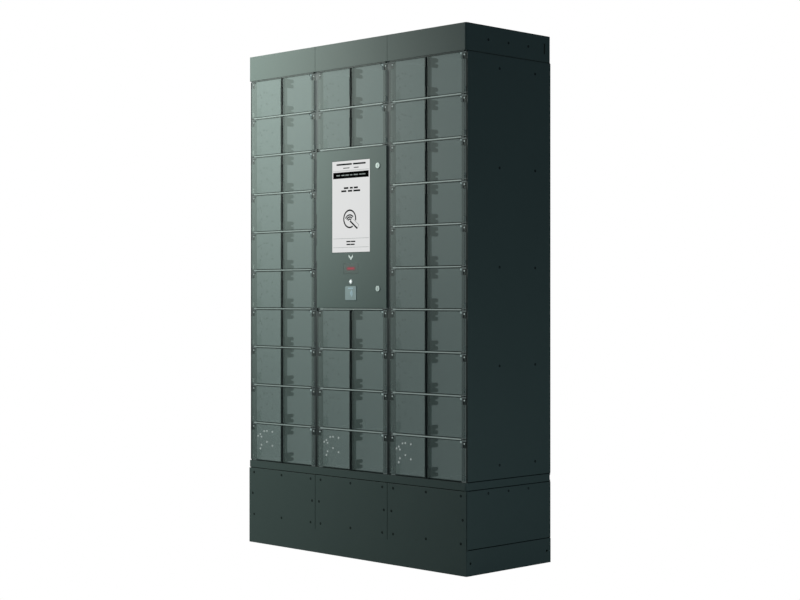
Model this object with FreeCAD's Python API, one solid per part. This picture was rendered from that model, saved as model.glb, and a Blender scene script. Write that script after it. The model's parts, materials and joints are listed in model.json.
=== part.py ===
import FreeCAD, Part
import math
import os

# Charging locker: three bays of small clear doors round a control panel, under a header and on a plinth.
# Millimetres. X runs to the right, Y to the back and Z up. The origin is on the floor under the middle.

# Layout, with rows counted from the top
BAYS = ("left", "centre", "right")
CONTROL_BAY = "centre"
CONTROL_ROWS = (3, 4, 5, 6)
ROW_COUNT = 10
BAY_PITCH = 400.0
ROW_PITCH = 154.0
DEPTH = 467.0
HEADER_HEIGHT = 98.0
PLINTH_HEIGHT = 332.0

# Sheet metal
OUTER_SHEET = 2.0
INNER_SHEET = 1.5
DIVIDER_SHEET = 2.0
CORNER_RADIUS = 8.0
SHADOW_GAP = 3.0
SEAM_GAP = 0.6
BACK_RECESS = 1.5

# Cells: from the bay's edge to its wall, and the posts that the doors close against
WALL_INSET = 12.0
JAMB_HALF_WIDTH = 32.5
STRIP_HEIGHT = 4.0
STRIP_END_GAP = 0.5
STRIP_FRONT_INSET = 2.0

# Doors
DOOR_INSET = 3.0
PANE_THICKNESS = 5.0
PANE_INNER_GAP = 7.5
PANE_OUTER_GAP = 11.0
DOOR_EDGE_GAP = 3.0
DOOR_BACK_GAP = 3.0
NOTCH_HEIGHT = 25.0
NOTCH_WIDTH = 18.0
NOTCH_STEP_WIDTH = 27.0
NOTCH_STEP_HEIGHT = 8.0
STRIKE_WIDTH = 10.0
STRIKE_HEIGHT = 19.0
STRIKE_THICKNESS = 2.5
STRIKE_EDGE = 1.0
STRIKE_RISE = 2.0

# Door hinges: a rod in the gap between the doors, plates on the divider and leaves on the panes
HINGE_OFFSET = 4.75
HINGE_BEHIND_FRONT = 4.0
HINGE_ROD_RADIUS = 2.0
HINGE_ROD_SIDES = 12
HINGE_FIT = 0.05
HINGE_HEIGHT = 35.0
HINGE_EDGE = 1.0
LEAF_REACH = 9.0
LEAF_THICKNESS = 2.3
PLATE_THICKNESS = 3.0
PLATE_DEPTH = 62.0
PLATE_SEAT = 0.1
ROD_SLOT = 9.0
ROD_SLOT_FRONT = 2.2

# Fittings of each cell
LED_RADIUS = 4.5
LED_SIDES = 6
LED_FROM_DOOR_EDGE = 7.0
LED_BELOW_SHELF = 15.0
LED_LENGTH = 3.0
LATCH_WIDTH = 18.0
LATCH_DEPTH = 29.0
LATCH_HEIGHT = 36.0
LATCH_RISE = 6.0
PORT_WIDTH = 62.0
PORT_HEIGHT = 34.0
PORT_DEPTH = 18.0
PORT_RISE = 56.0

# Control panel door, with heights above its lower edge and places across from its middle
CONTROL_SIDE_GAP = 7.5
CONTROL_PAN_DEPTH = 6.5
CONTROL_SHEET = 2.0
CONTROL_HINGE_OUT = 3.0
CONTROL_HINGE_RADIUS = 2.5
CONTROL_KNUCKLE_RADIUS = 3.8
CONTROL_KNUCKLE_LENGTH = 60.0
CONTROL_KNUCKLE_SIDES = 6
CONTROL_KNUCKLES = 2
CONTROL_LUG_HEIGHT = 12.0
UNIT_FIT = 0.3
DISPLAY_WIDTH = 211.0
DISPLAY_HEIGHT = 352.0
DISPLAY_RISE = 387.0
DISPLAY_DEPTH = 28.0
SCANNER_WIDTH = 81.0
SCANNER_HEIGHT = 41.0
SCANNER_RISE = 150.0
SCANNER_DEPTH = 42.0
READER_WIDTH = 62.0
READER_HEIGHT = 54.0
READER_RISE = 56.0
READER_DEPTH = 16.0
READER_PROUD = 1.5
READER_CORNER = 5.0
UNIT_LIP = 7.0
LENS_RADIUS = 10.0
LENS_CROWN_RADIUS = 6.0
LENS_RISE = 100.0
LENS_PROUD = 2.5
LENS_DEPTH = 20.0
LOCK_FROM_EDGE = 44.5
LOCK_RISES = {"upper": 534.0, "lower": 73.0}
LOCK_HEAD_RADIUS = 10.5
LOCK_HEAD_PROUD = 2.4
LOCK_BARREL_RADIUS = 9.0
LOCK_BARREL_LENGTH = 20.0
LOCK_FIT = 0.05
LOCK_SEAT = 0.1
KEYWAY_LENGTH = 9.0
KEYWAY_WIDTH = 1.6
CAM_LENGTH = 32.0
CAM_WIDTH = 14.0
CAM_THICKNESS = 2.5

# Power supply behind the control panel door
SUPPLY_WIDTH = 240.0
SUPPLY_HEIGHT = 320.0
SUPPLY_DEPTH = 70.0
FIN_COUNT = 9
FIN_DEPTH = 25.0
FIN_THICKNESS = 5.0

# Plinth
CAP_HEIGHT = 27.0
RAIL_HEIGHT = 91.0
RAIL_FOOT = 40.0
ANGLE_WIDTH = 40.0
PANEL_SEAM = 2.0
PANEL_LAP = 18.0
CORNER_SEAM = 2.5
ANCHOR_RADIUS = 4.5
ANCHOR_FROM_EDGE = 22.0
ANCHOR_HEIGHT = 45.0

# Cable slot in the ends of the header
CABLE_SLOT_WIDTH = 8.0
CABLE_SLOT_HEIGHT = 40.0
CABLE_SLOT_FROM_BACK = 35.0

# Places that follow from the sizes above
WIDTH = len(BAYS) * BAY_PITCH
FRONT = -DEPTH / 2
BACK = DEPTH / 2
SIDE = WIDTH / 2
TOP_OF_CELLS = PLINTH_HEIGHT + ROW_COUNT * ROW_PITCH
HEIGHT = TOP_OF_CELLS + HEADER_HEIGHT
PANE_FRONT = FRONT + DOOR_INSET
PANE_BACK = PANE_FRONT + PANE_THICKNESS
PANE_OUTER = BAY_PITCH / 2 - PANE_OUTER_GAP
CELL_WIDTH = BAY_PITCH / 2 - WALL_INSET
DOOR_LOW = STRIP_HEIGHT / 2 + DOOR_EDGE_GAP
DOOR_HIGH = ROW_PITCH - DOOR_LOW
JAMB_FRONT = PANE_BACK + DOOR_BACK_GAP
JAMB_BACK = JAMB_FRONT + OUTER_SHEET
JAMB_EDGE = BAY_PITCH / 2 - JAMB_HALF_WIDTH
BACK_SHEET_FRONT = BACK - BACK_RECESS - INNER_SHEET
STRIP_FRONT = FRONT + STRIP_FRONT_INSET
HINGE_Y = PANE_FRONT + HINGE_BEHIND_FRONT
CEILING = TOP_OF_CELLS - INNER_SHEET
CONTROL_LOW = PLINTH_HEIGHT + (ROW_COUNT - max(CONTROL_ROWS)) * ROW_PITCH
CONTROL_HIGH = PLINTH_HEIGHT + (ROW_COUNT - min(CONTROL_ROWS) + 1) * ROW_PITCH
CONTROL_FOOT = CONTROL_LOW + DOOR_LOW
CONTROL_HEAD = CONTROL_HIGH - DOOR_LOW
CONTROL_BACK = PANE_FRONT + CONTROL_SHEET
CONTROL_WIDTH = BAY_PITCH - 2 * CONTROL_SIDE_GAP
CONTROL_HINGE_X = -CONTROL_WIDTH / 2 - CONTROL_HINGE_OUT
LOCK_ACROSS = CONTROL_WIDTH / 2 - LOCK_FROM_EDGE
CAP_LOW = PLINTH_HEIGHT - CAP_HEIGHT

V = FreeCAD.Vector
DOWN_THE_DEPTH = V(0, 1, 0)
UP = V(0, 0, 1)


def box(x, y, z):
    """A block between the low and high ends given for each axis."""
    return Part.makeBox(x[1] - x[0], y[1] - y[0], z[1] - z[0], V(x[0], y[0], z[0]))


def prism(points, run):
    """A flat outline carried along a straight run."""
    corners = [V(*p) for p in points]
    return Part.Face(Part.makePolygon(corners + corners[:1])).extrude(V(*run))


def ring(sides, radius):
    """The corners of an even-sided outline about its middle, with a flat at each end of its width."""
    turns = [2 * math.pi * (i + 0.5) / sides for i in range(sides)]
    return [(radius * math.cos(t), radius * math.sin(t)) for t in turns]


def both_sides(shape):
    """A shape to the right of the middle plane, and its mirror image to the left."""
    return [shape, shape.mirror(V(0, 0, 0), V(1, 0, 0))]


def rounded_block(half_x, half_y, radius, z):
    """An upright block whose vertical corners are rounded."""
    block = box((-half_x, half_x), (-half_y, half_y), z)
    upright = [e for e in block.Edges if abs(e.tangentAt(e.FirstParameter).z) > 0.5]
    return block.makeFillet(radius, upright)


def folded_cover(z_open, z_closed):
    """A tray over the whole footprint, with rounded corners, open at one end of its height."""
    low, high = sorted((z_open, z_closed))
    outer = rounded_block(SIDE, DEPTH / 2, CORNER_RADIUS, (low, high))
    wall = OUTER_SHEET
    room = (low - wall, high - wall) if z_closed > z_open else (low + wall, high + wall)
    return outer.cut(rounded_block(SIDE - wall, DEPTH / 2 - wall, CORNER_RADIUS - wall, room))


def bay_x(bay):
    return (BAYS.index(bay) - (len(BAYS) - 1) / 2) * BAY_PITCH


def level_z(level):
    return PLINTH_HEIGHT + level * ROW_PITCH


def rows_of(bay):
    """The rows of a bay that hold cells."""
    return [r for r in range(1, ROW_COUNT + 1) if bay != CONTROL_BAY or r not in CONTROL_ROWS]


def row_low(row):
    return level_z(ROW_COUNT - row)


def in_every_cell(make):
    """Copies of a right-hand cell's fitting, and of its mirror image, in every cell."""
    pair = both_sides(make())
    places = [V(bay_x(bay), 0, row_low(row)) for bay in BAYS for row in rows_of(bay)]
    return [shape.translated(place) for place in places for shape in pair]


def pane():
    """The clear pane of a right-hand door, with the stepped notch round the indicator."""
    outline = [
        (PANE_INNER_GAP, DOOR_LOW),
        (PANE_OUTER, DOOR_LOW),
        (PANE_OUTER, DOOR_HIGH - NOTCH_HEIGHT),
        (PANE_OUTER - NOTCH_WIDTH, DOOR_HIGH - NOTCH_HEIGHT),
        (PANE_OUTER - NOTCH_WIDTH, DOOR_HIGH - NOTCH_STEP_HEIGHT),
        (PANE_OUTER - NOTCH_STEP_WIDTH, DOOR_HIGH - NOTCH_STEP_HEIGHT),
        (PANE_OUTER - NOTCH_STEP_WIDTH, DOOR_HIGH),
        (PANE_INNER_GAP, DOOR_HIGH),
    ]
    return prism([(x, PANE_FRONT, z) for x, z in outline], (0, PANE_THICKNESS, 0))


def hinge_leaf(z):
    """The leaf behind a pane's inner edge, with a half-hexagon knuckle that turns on the rod."""
    inner = HINGE_OFFSET
    corner = (HINGE_ROD_RADIUS + HINGE_FIT) / math.cos(math.pi / 6)
    outline = [
        (inner, PANE_FRONT),
        (PANE_INNER_GAP, PANE_FRONT),
        (PANE_INNER_GAP, PANE_BACK),
        (inner + LEAF_REACH, PANE_BACK),
        (inner + LEAF_REACH, PANE_BACK + LEAF_THICKNESS),
        (inner, PANE_BACK + LEAF_THICKNESS),
    ]
    for turn in (math.pi / 2, math.pi / 6, -math.pi / 6, -math.pi / 2):
        outline.append((inner + corner * math.cos(turn), HINGE_Y + corner * math.sin(turn)))
    return prism([(x, y, z) for x, y in outline], (0, 0, HINGE_HEIGHT))


def hinge_foots():
    """The lower ends of a door's two hinges, above the floor of its cell."""
    return (DOOR_LOW + HINGE_EDGE, DOOR_HIGH - HINGE_EDGE - HINGE_HEIGHT)


def strike():
    high = PANE_OUTER - STRIKE_EDGE
    foot = DOOR_LOW + STRIKE_RISE
    return box(
        (high - STRIKE_WIDTH, high),
        (PANE_BACK, PANE_BACK + STRIKE_THICKNESS),
        (foot, foot + STRIKE_HEIGHT),
    )


def door(bay, row, hand):
    """The solids of one door: the pane, its two hinge leaves and its strike tab."""
    pieces = [pane(), strike()] + [hinge_leaf(z) for z in hinge_foots()]
    place = V(bay_x(bay), 0, row_low(row))
    return [both_sides(piece)[hand == "a"].translated(place) for piece in pieces]


def hinge_plate(foot):
    """A plate on the divider's face that holds the rod from behind."""
    face = DIVIDER_SHEET / 2
    front = HINGE_Y + HINGE_ROD_RADIUS + PLATE_SEAT
    return box(
        (face, face + PLATE_THICKNESS),
        (front, FRONT + PLATE_DEPTH),
        (foot, foot + HINGE_HEIGHT),
    )


def rod_spans(bay):
    """The lower and upper ends of the hinge rods of a bay."""
    if bay != CONTROL_BAY:
        return [(PLINTH_HEIGHT, CEILING)]
    strip = STRIP_HEIGHT / 2
    return [(PLINTH_HEIGHT, CONTROL_LOW - strip), (CONTROL_HIGH + strip, CEILING)]


def hinge_rod(radius, x, span):
    """An upright rod on a hinge line, drawn with a few flats because there are many."""
    outline = [(x + a, HINGE_Y + b, span[0]) for a, b in ring(HINGE_ROD_SIDES, radius)]
    return prism(outline, (0, 0, span[1] - span[0]))


def control_hinge_fixed():
    """The rod of the control panel door, and the two lugs on the jamb that hold its ends."""
    x = bay_x(CONTROL_BAY) + CONTROL_HINGE_X
    rod = hinge_rod(CONTROL_HINGE_RADIUS, x, (CONTROL_FOOT, CONTROL_HEAD))
    lugs = []
    for foot in (CONTROL_FOOT - CONTROL_LUG_HEIGHT, CONTROL_HEAD):
        lugs.append(
            box(
                (x - CONTROL_KNUCKLE_RADIUS, x + CONTROL_HINGE_RADIUS),
                (PANE_FRONT, JAMB_FRONT),
                (foot, foot + CONTROL_LUG_HEIGHT),
            )
        )
    return [rod] + lugs


def door_hinges():
    """The fixed halves of the hinges: the rods, and the plates that hold them."""
    solids = []
    for bay in BAYS:
        for span in rod_spans(bay):
            rod = hinge_rod(HINGE_ROD_RADIUS, HINGE_OFFSET, span)
            solids += [s.translated(V(bay_x(bay), 0, 0)) for s in both_sides(rod)]
    for foot in hinge_foots():
        solids += in_every_cell(lambda: hinge_plate(foot))
    return solids + control_hinge_fixed()


def indicator():
    """The lens of an indicator light on the jamb, in the notch of its door."""
    x = PANE_OUTER - LED_FROM_DOOR_EDGE
    z = ROW_PITCH - LED_BELOW_SHELF
    rim = ring(LED_SIDES, LED_RADIUS)
    return prism([(x + a, JAMB_FRONT, z + b) for a, b in rim], (0, -LED_LENGTH, 0))


def latch():
    """The electric latch behind the jamb, level with the strike tab."""
    return box(
        (CELL_WIDTH - LATCH_WIDTH, CELL_WIDTH),
        (JAMB_BACK, JAMB_BACK + LATCH_DEPTH),
        (LATCH_RISE, LATCH_RISE + LATCH_HEIGHT),
    )


def charging_port():
    """The charging outlet on the back of a cell."""
    middle = CELL_WIDTH / 2
    return box(
        (middle - PORT_WIDTH / 2, middle + PORT_WIDTH / 2),
        (BACK_SHEET_FRONT - PORT_DEPTH, BACK_SHEET_FRONT),
        (PORT_RISE, PORT_RISE + PORT_HEIGHT),
    )


def jambs():
    """The posts behind the doors' outer edges, one at each end of a bay."""
    low = -SIDE + OUTER_SHEET
    solids = []
    for i in range(len(BAYS) + 1):
        x = -SIDE + i * BAY_PITCH
        span = (max(x - JAMB_HALF_WIDTH, low), min(x + JAMB_HALF_WIDTH, -low))
        solids.append(box(span, (JAMB_FRONT, JAMB_BACK), (PLINTH_HEIGHT, TOP_OF_CELLS)))
    return solids


def carcass():
    """Jambs, bay walls, dividers and backs, which are welded together on the real object."""
    solids = jambs()
    depth = (JAMB_BACK, BACK_SHEET_FRONT)
    full_height = (PLINTH_HEIGHT, TOP_OF_CELLS)
    wall = box((CELL_WIDTH, CELL_WIDTH + INNER_SHEET), depth, full_height)
    half_back = BAY_PITCH / 2 - OUTER_SHEET
    back = box((-half_back, half_back), (BACK_SHEET_FRONT, BACK_SHEET_FRONT + INNER_SHEET), full_height)
    half_sheet = DIVIDER_SHEET / 2
    for bay in BAYS:
        place = V(bay_x(bay), 0, 0)
        solids += [s.translated(place) for s in both_sides(wall) + [back]]
        for row in rows_of(bay):
            low = row_low(row) + (INNER_SHEET / 2 if row < ROW_COUNT else 0)
            high = min(row_low(row) + ROW_PITCH - INNER_SHEET / 2, CEILING)
            solids.append(box((-half_sheet, half_sheet), depth, (low, high)).translated(place))
    return solids


def strip(slotted):
    """The front bar of a shelf, slotted at the back where the hinge rods pass."""
    half = JAMB_EDGE - STRIP_END_GAP
    outline = [(-half, JAMB_BACK), (-half, STRIP_FRONT), (half, STRIP_FRONT), (half, JAMB_BACK)]
    if slotted:
        slot_front = STRIP_FRONT + ROD_SLOT_FRONT
        outline += [(ROD_SLOT, JAMB_BACK), (ROD_SLOT, slot_front)]
        outline += [(-ROD_SLOT, slot_front), (-ROD_SLOT, JAMB_BACK)]
    return prism([(x, y, -STRIP_HEIGHT / 2) for x, y in outline], (0, 0, STRIP_HEIGHT))


def shelves():
    """The shelf sheets and their front bars, and the ceiling of each bay."""
    solids = []
    across = (-CELL_WIDTH, CELL_WIDTH)
    depth = (JAMB_BACK, BACK_SHEET_FRONT)
    sheet = box(across, depth, (-INNER_SHEET / 2, INNER_SHEET / 2))
    ceiling_across = (-JAMB_EDGE + STRIP_END_GAP, JAMB_EDGE - STRIP_END_GAP)
    ceiling = box(across, depth, (CEILING, TOP_OF_CELLS)).fuse(
        box(ceiling_across, (STRIP_FRONT, JAMB_BACK), (CEILING, TOP_OF_CELLS))
    )
    for bay in BAYS:
        cells = rows_of(bay)
        solids.append(ceiling.removeSplitter().translated(V(bay_x(bay), 0, 0)))
        for level in range(1, ROW_COUNT):
            above = ROW_COUNT - level in cells
            below = ROW_COUNT - level + 1 in cells
            if above or below:
                place = V(bay_x(bay), 0, level_z(level))
                solids.append(sheet.translated(place))
                solids.append(strip(above and below).translated(place))
    return solids


def header():
    """Three folded covers with a narrow seam between them, and a cable slot in each end."""
    shell = folded_cover(TOP_OF_CELLS, HEIGHT)
    y = BACK - CABLE_SLOT_FROM_BACK
    middle = TOP_OF_CELLS + HEADER_HEIGHT / 2
    slot = box(
        (-SIDE, SIDE),
        (y - CABLE_SLOT_WIDTH / 2, y + CABLE_SLOT_WIDTH / 2),
        (middle - CABLE_SLOT_HEIGHT / 2, middle + CABLE_SLOT_HEIGHT / 2),
    )
    shell = shell.cut(slot)
    covers = []
    for i in range(len(BAYS)):
        low = -SIDE + i * BAY_PITCH + (SEAM_GAP / 2 if i else 0)
        high = -SIDE + (i + 1) * BAY_PITCH - (SEAM_GAP / 2 if i < len(BAYS) - 1 else 0)
        covers += shell.common(box((low, high), (FRONT, BACK), (TOP_OF_CELLS, HEIGHT))).Solids
    return covers


def side_panels():
    """The outer sheets, which start behind the panes so that the doors' edges show at the sides."""
    upright = (PLINTH_HEIGHT + SHADOW_GAP, TOP_OF_CELLS - SHADOW_GAP)
    return both_sides(box((SIDE - OUTER_SHEET, SIDE), (PANE_BACK, BACK), upright))


def side_rail():
    """A bottom rail with a foot turned inwards, and two holes for bolts."""
    outline = [
        (SIDE - RAIL_FOOT, 0),
        (SIDE, 0),
        (SIDE, RAIL_HEIGHT),
        (SIDE - OUTER_SHEET, RAIL_HEIGHT),
        (SIDE - OUTER_SHEET, OUTER_SHEET),
        (SIDE - RAIL_FOOT, OUTER_SHEET),
    ]
    start = FRONT + OUTER_SHEET
    rail = prism([(x, start, z) for x, z in outline], (0, BACK - start, 0))
    for y in (FRONT + ANCHOR_FROM_EDGE, BACK - ANCHOR_FROM_EDGE):
        hole = V(SIDE - 2 * OUTER_SHEET, y, ANCHOR_HEIGHT)
        rail = rail.cut(Part.makeCylinder(ANCHOR_RADIUS, 3 * OUTER_SHEET, hole, V(1, 0, 0)))
    return rail


def upright_angle(x, inwards):
    """A folded upright behind the edge of a front panel, which its screws go into."""
    front = FRONT + 2 * OUTER_SHEET
    sheet = OUTER_SHEET
    outline = [
        (x, front),
        (x + inwards * ANGLE_WIDTH, front),
        (x + inwards * ANGLE_WIDTH, front + sheet),
        (x + inwards * sheet, front + sheet),
        (x + inwards * sheet, front + ANGLE_WIDTH),
        (x, front + ANGLE_WIDTH),
    ]
    low = OUTER_SHEET
    return prism([(px, py, low) for px, py in outline], (0, 0, PLINTH_HEIGHT - OUTER_SHEET - low))


def plinth_lips():
    """Flat lips behind the shadow gaps, which carry the edges of the plinth's panels."""
    under_cap = (CAP_LOW - SHADOW_GAP - PANEL_LAP, PLINTH_HEIGHT - OUTER_SHEET)
    over_rail = (RAIL_HEIGHT - PANEL_LAP, RAIL_HEIGHT + SHADOW_GAP + PANEL_LAP)
    across = SIDE - OUTER_SHEET - CORNER_RADIUS
    along = DEPTH / 2 - OUTER_SHEET - CORNER_RADIUS
    behind = BACK - OUTER_SHEET
    solids = []
    for upright in (under_cap, over_rail):
        outer = SIDE - OUTER_SHEET
        solids += both_sides(box((outer - OUTER_SHEET, outer), (-along, along), upright))
        solids.append(box((-across, across), (behind - OUTER_SHEET, behind), upright))
    front = FRONT + OUTER_SHEET
    solids.append(box((-across, across), (front, front + OUTER_SHEET), under_cap))
    return solids


def plinth_frame():
    """The cap tray, the bottom rails, the lips and the uprights of the plinth."""
    solids = [folded_cover(CAP_LOW, PLINTH_HEIGHT)] + both_sides(side_rail()) + plinth_lips()
    between_rails = (-SIDE + OUTER_SHEET, SIDE - OUTER_SHEET)
    front = FRONT + OUTER_SHEET
    solids.append(box(between_rails, (front, front + OUTER_SHEET), (OUTER_SHEET, RAIL_HEIGHT)))
    solids.append(box(between_rails, (BACK - OUTER_SHEET, BACK), (OUTER_SHEET, RAIL_HEIGHT)))
    clear = OUTER_SHEET + CORNER_RADIUS / 2
    for i in range(len(BAYS)):
        low = -SIDE + i * BAY_PITCH + clear
        solids.append(upright_angle(low, 1))
        solids.append(upright_angle(low + BAY_PITCH - 2 * clear, -1))
    return solids


def plinth_panels():
    """The outer panels of the plinth: one in front of each bay, one at each side and one behind."""
    high = CAP_LOW - SHADOW_GAP
    solids = []
    for i in range(len(BAYS)):
        low = -SIDE + i * BAY_PITCH + (PANEL_SEAM / 2 if i else 0)
        right = -SIDE + (i + 1) * BAY_PITCH - (PANEL_SEAM / 2 if i < len(BAYS) - 1 else 0)
        solids.append(box((low, right), (FRONT, FRONT + OUTER_SHEET), (0, high)))
    upright = (RAIL_HEIGHT + SHADOW_GAP, high)
    front = FRONT + OUTER_SHEET + CORNER_SEAM
    solids += both_sides(box((SIDE - OUTER_SHEET, SIDE), (front, BACK - OUTER_SHEET), upright))
    solids.append(box((-SIDE, SIDE), (BACK - OUTER_SHEET, BACK), upright))
    return solids


def control_knuckle(foot):
    """A knuckle that carries the control panel door on its rod."""
    length = CONTROL_KNUCKLE_LENGTH
    axis = V(CONTROL_HINGE_X, HINGE_Y, foot)
    rim = ring(CONTROL_KNUCKLE_SIDES, CONTROL_KNUCKLE_RADIUS)
    barrel = prism([(axis.x + a, axis.y + b, foot) for a, b in rim], (0, 0, length))
    arm = box(
        (CONTROL_HINGE_X, CONTROL_HINGE_X + CONTROL_HINGE_OUT),
        (PANE_FRONT, PANE_FRONT + CONTROL_SHEET),
        (foot, foot + length),
    )
    bore = Part.makeCylinder(CONTROL_HINGE_RADIUS + HINGE_FIT, length, axis)
    return barrel.fuse(arm).cut(bore)


def unit_box(width, height, rise, y):
    z = CONTROL_FOOT + rise
    return box((-width / 2, width / 2), y, (z - height / 2, z + height / 2))


def round_hole(radius, x, rise):
    """A cutter for a round hole through the control panel."""
    foot = V(x, PANE_FRONT - CONTROL_SHEET, CONTROL_FOOT + rise)
    return Part.makeCylinder(radius, 3 * CONTROL_SHEET, foot, DOWN_THE_DEPTH)


def control_door():
    """A shallow folded door with openings for its units and locks, on its knuckles."""
    half = CONTROL_WIDTH / 2
    sheet = CONTROL_SHEET
    inside = half - sheet
    rim = PANE_FRONT + CONTROL_PAN_DEPTH
    panel = box((-half, half), (PANE_FRONT, rim), (CONTROL_FOOT, CONTROL_HEAD))
    room = box((-inside, inside), (CONTROL_BACK, rim), (CONTROL_FOOT + sheet, CONTROL_HEAD - sheet))
    panel = panel.cut(room)
    through = (PANE_FRONT, CONTROL_BACK)
    cuts = [
        unit_box(DISPLAY_WIDTH, DISPLAY_HEIGHT, DISPLAY_RISE, through),
        unit_box(SCANNER_WIDTH, SCANNER_HEIGHT, SCANNER_RISE, through),
        unit_box(READER_WIDTH, READER_HEIGHT, READER_RISE, through),
        round_hole(LENS_RADIUS + UNIT_FIT, 0, LENS_RISE),
    ]
    cuts += [round_hole(LOCK_BARREL_RADIUS + LOCK_FIT, LOCK_ACROSS, z) for z in LOCK_RISES.values()]
    panel = panel.cut(Part.makeCompound(cuts))
    span = CONTROL_HEAD - CONTROL_FOOT - CONTROL_KNUCKLE_LENGTH
    step = span / (CONTROL_KNUCKLES + 1)
    for i in range(CONTROL_KNUCKLES):
        panel = panel.fuse(control_knuckle(CONTROL_FOOT + (i + 1) * step))
    return panel.removeSplitter()


def panel_unit(width, height, rise, depth, proud=0.0):
    """A unit whose face fills an opening of the control panel, on a wider body behind it."""
    fit = 2 * UNIT_FIT
    face = unit_box(width - fit, height - fit, rise, (PANE_FRONT - proud, CONTROL_BACK))
    lip = 2 * UNIT_LIP
    body = unit_box(width + lip, height + lip, rise, (CONTROL_BACK, CONTROL_BACK + depth))
    return face, body


def display():
    face, body = panel_unit(DISPLAY_WIDTH, DISPLAY_HEIGHT, DISPLAY_RISE, DISPLAY_DEPTH)
    return face.fuse(body)


def scanner():
    face, body = panel_unit(SCANNER_WIDTH, SCANNER_HEIGHT, SCANNER_RISE, SCANNER_DEPTH)
    return face.fuse(body)


def card_reader():
    """A reader with rounded corners that stands a little proud of the panel."""
    face, body = panel_unit(READER_WIDTH, READER_HEIGHT, READER_RISE, READER_DEPTH, READER_PROUD)
    along = [e for e in face.Edges if abs(e.tangentAt(e.FirstParameter).y) > 0.5]
    return face.makeFillet(READER_CORNER, along).fuse(body)


def turned(profile, x, rise):
    """A round piece square to the control panel, from radius and depth pairs."""
    axis = V(x, 0, CONTROL_FOOT + rise)
    corners = [axis + V(r, y, 0) for r, y in profile]
    outline = Part.Face(Part.makePolygon(corners + corners[:1]))
    return outline.revolve(axis, DOWN_THE_DEPTH, 360)


def round_lens():
    """A lens on a barrel through the panel, with a flat crown and a sloped rim."""
    back = CONTROL_BACK + LENS_DEPTH
    crown = PANE_FRONT - LENS_PROUD
    profile = [
        (0, back),
        (0, crown),
        (LENS_CROWN_RADIUS, crown),
        (LENS_RADIUS, PANE_FRONT),
        (LENS_RADIUS, back),
    ]
    return turned(profile, 0, LENS_RISE)


def cam_lock(rise):
    """A lock plug with its head and keyway in front, and the cam blade that hangs on its rear end."""
    head_back = PANE_FRONT - LOCK_SEAT
    head_front = head_back - LOCK_HEAD_PROUD
    end = CONTROL_BACK + LOCK_BARREL_LENGTH
    profile = [
        (0, head_front),
        (LOCK_HEAD_RADIUS, head_front),
        (LOCK_HEAD_RADIUS, head_back),
        (LOCK_BARREL_RADIUS, head_back),
        (LOCK_BARREL_RADIUS, end),
        (0, end),
    ]
    plug = turned(profile, LOCK_ACROSS, rise)
    z = CONTROL_FOOT + rise
    keyway = box(
        (LOCK_ACROSS - KEYWAY_WIDTH / 2, LOCK_ACROSS + KEYWAY_WIDTH / 2),
        (head_front, head_back),
        (z - KEYWAY_LENGTH / 2, z + KEYWAY_LENGTH / 2),
    )
    cam = box(
        (LOCK_ACROSS - CAM_WIDTH / 2, LOCK_ACROSS + CAM_WIDTH / 2),
        (end, end + CAM_THICKNESS),
        (z - CAM_LENGTH, z + CAM_WIDTH / 2),
    )
    return [plug.cut(keyway), cam]


def power_supply():
    """A supply with cooling fins, on the back sheet behind the control panel."""
    rear = BACK_SHEET_FRONT
    face = rear - SUPPLY_DEPTH
    middle = (CONTROL_LOW + CONTROL_HIGH) / 2
    half = SUPPLY_WIDTH / 2
    pitch = (SUPPLY_WIDTH - FIN_THICKNESS) / (FIN_COUNT - 1)
    outline = [(half, rear), (-half, rear)]
    for i in range(FIN_COUNT):
        left = -half + i * pitch
        right = left + FIN_THICKNESS
        outline += [(left, face - FIN_DEPTH), (right, face - FIN_DEPTH)]
        if i < FIN_COUNT - 1:
            outline += [(right, face), (left + pitch, face)]
    foot = middle - SUPPLY_HEIGHT / 2
    return prism([(x, y, foot) for x, y in outline], (0, 0, SUPPLY_HEIGHT))


def write(name, solids):
    """Write the solids of one node."""
    Part.makeCompound(solids).exportStep(os.path.join("parts", name + ".step"))


def main():
    os.makedirs("parts", exist_ok=True)
    to_control_bay = V(bay_x(CONTROL_BAY), 0, 0)
    write("carcass", carcass())
    write("shelves", shelves())
    write("header", header())
    write("side_panels", side_panels())
    write("plinth_frame", plinth_frame())
    write("plinth_panels", plinth_panels())
    write("door_hinges", door_hinges())
    write("latches", in_every_cell(latch))
    write("indicator_lights", in_every_cell(indicator))
    write("charging_ports", in_every_cell(charging_port))
    for name, solids in (
        ("power_supply", [power_supply()]),
        ("control_door", [control_door()]),
        ("display", [display()]),
        ("scanner_window", [scanner()]),
        ("card_reader", [card_reader()]),
        ("round_lens", [round_lens()]),
        ("cam_lock_upper", cam_lock(LOCK_RISES["upper"])),
        ("cam_lock_lower", cam_lock(LOCK_RISES["lower"])),
    ):
        write(name, [solid.translated(to_control_bay) for solid in solids])
    for bay in BAYS:
        for hand in ("a", "b"):
            if bay == CONTROL_BAY:
                column = [s for row in rows_of(bay) for s in door(bay, row, hand)]
                write(f"doors_{bay}_{hand}", column)
                continue
            for row in rows_of(bay):
                write(f"door_{bay}_{hand}{row:02d}", door(bay, row, hand))


main()
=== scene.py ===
import json
import math

import bmesh
import bpy
from mathutils import Matrix, Vector


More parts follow.
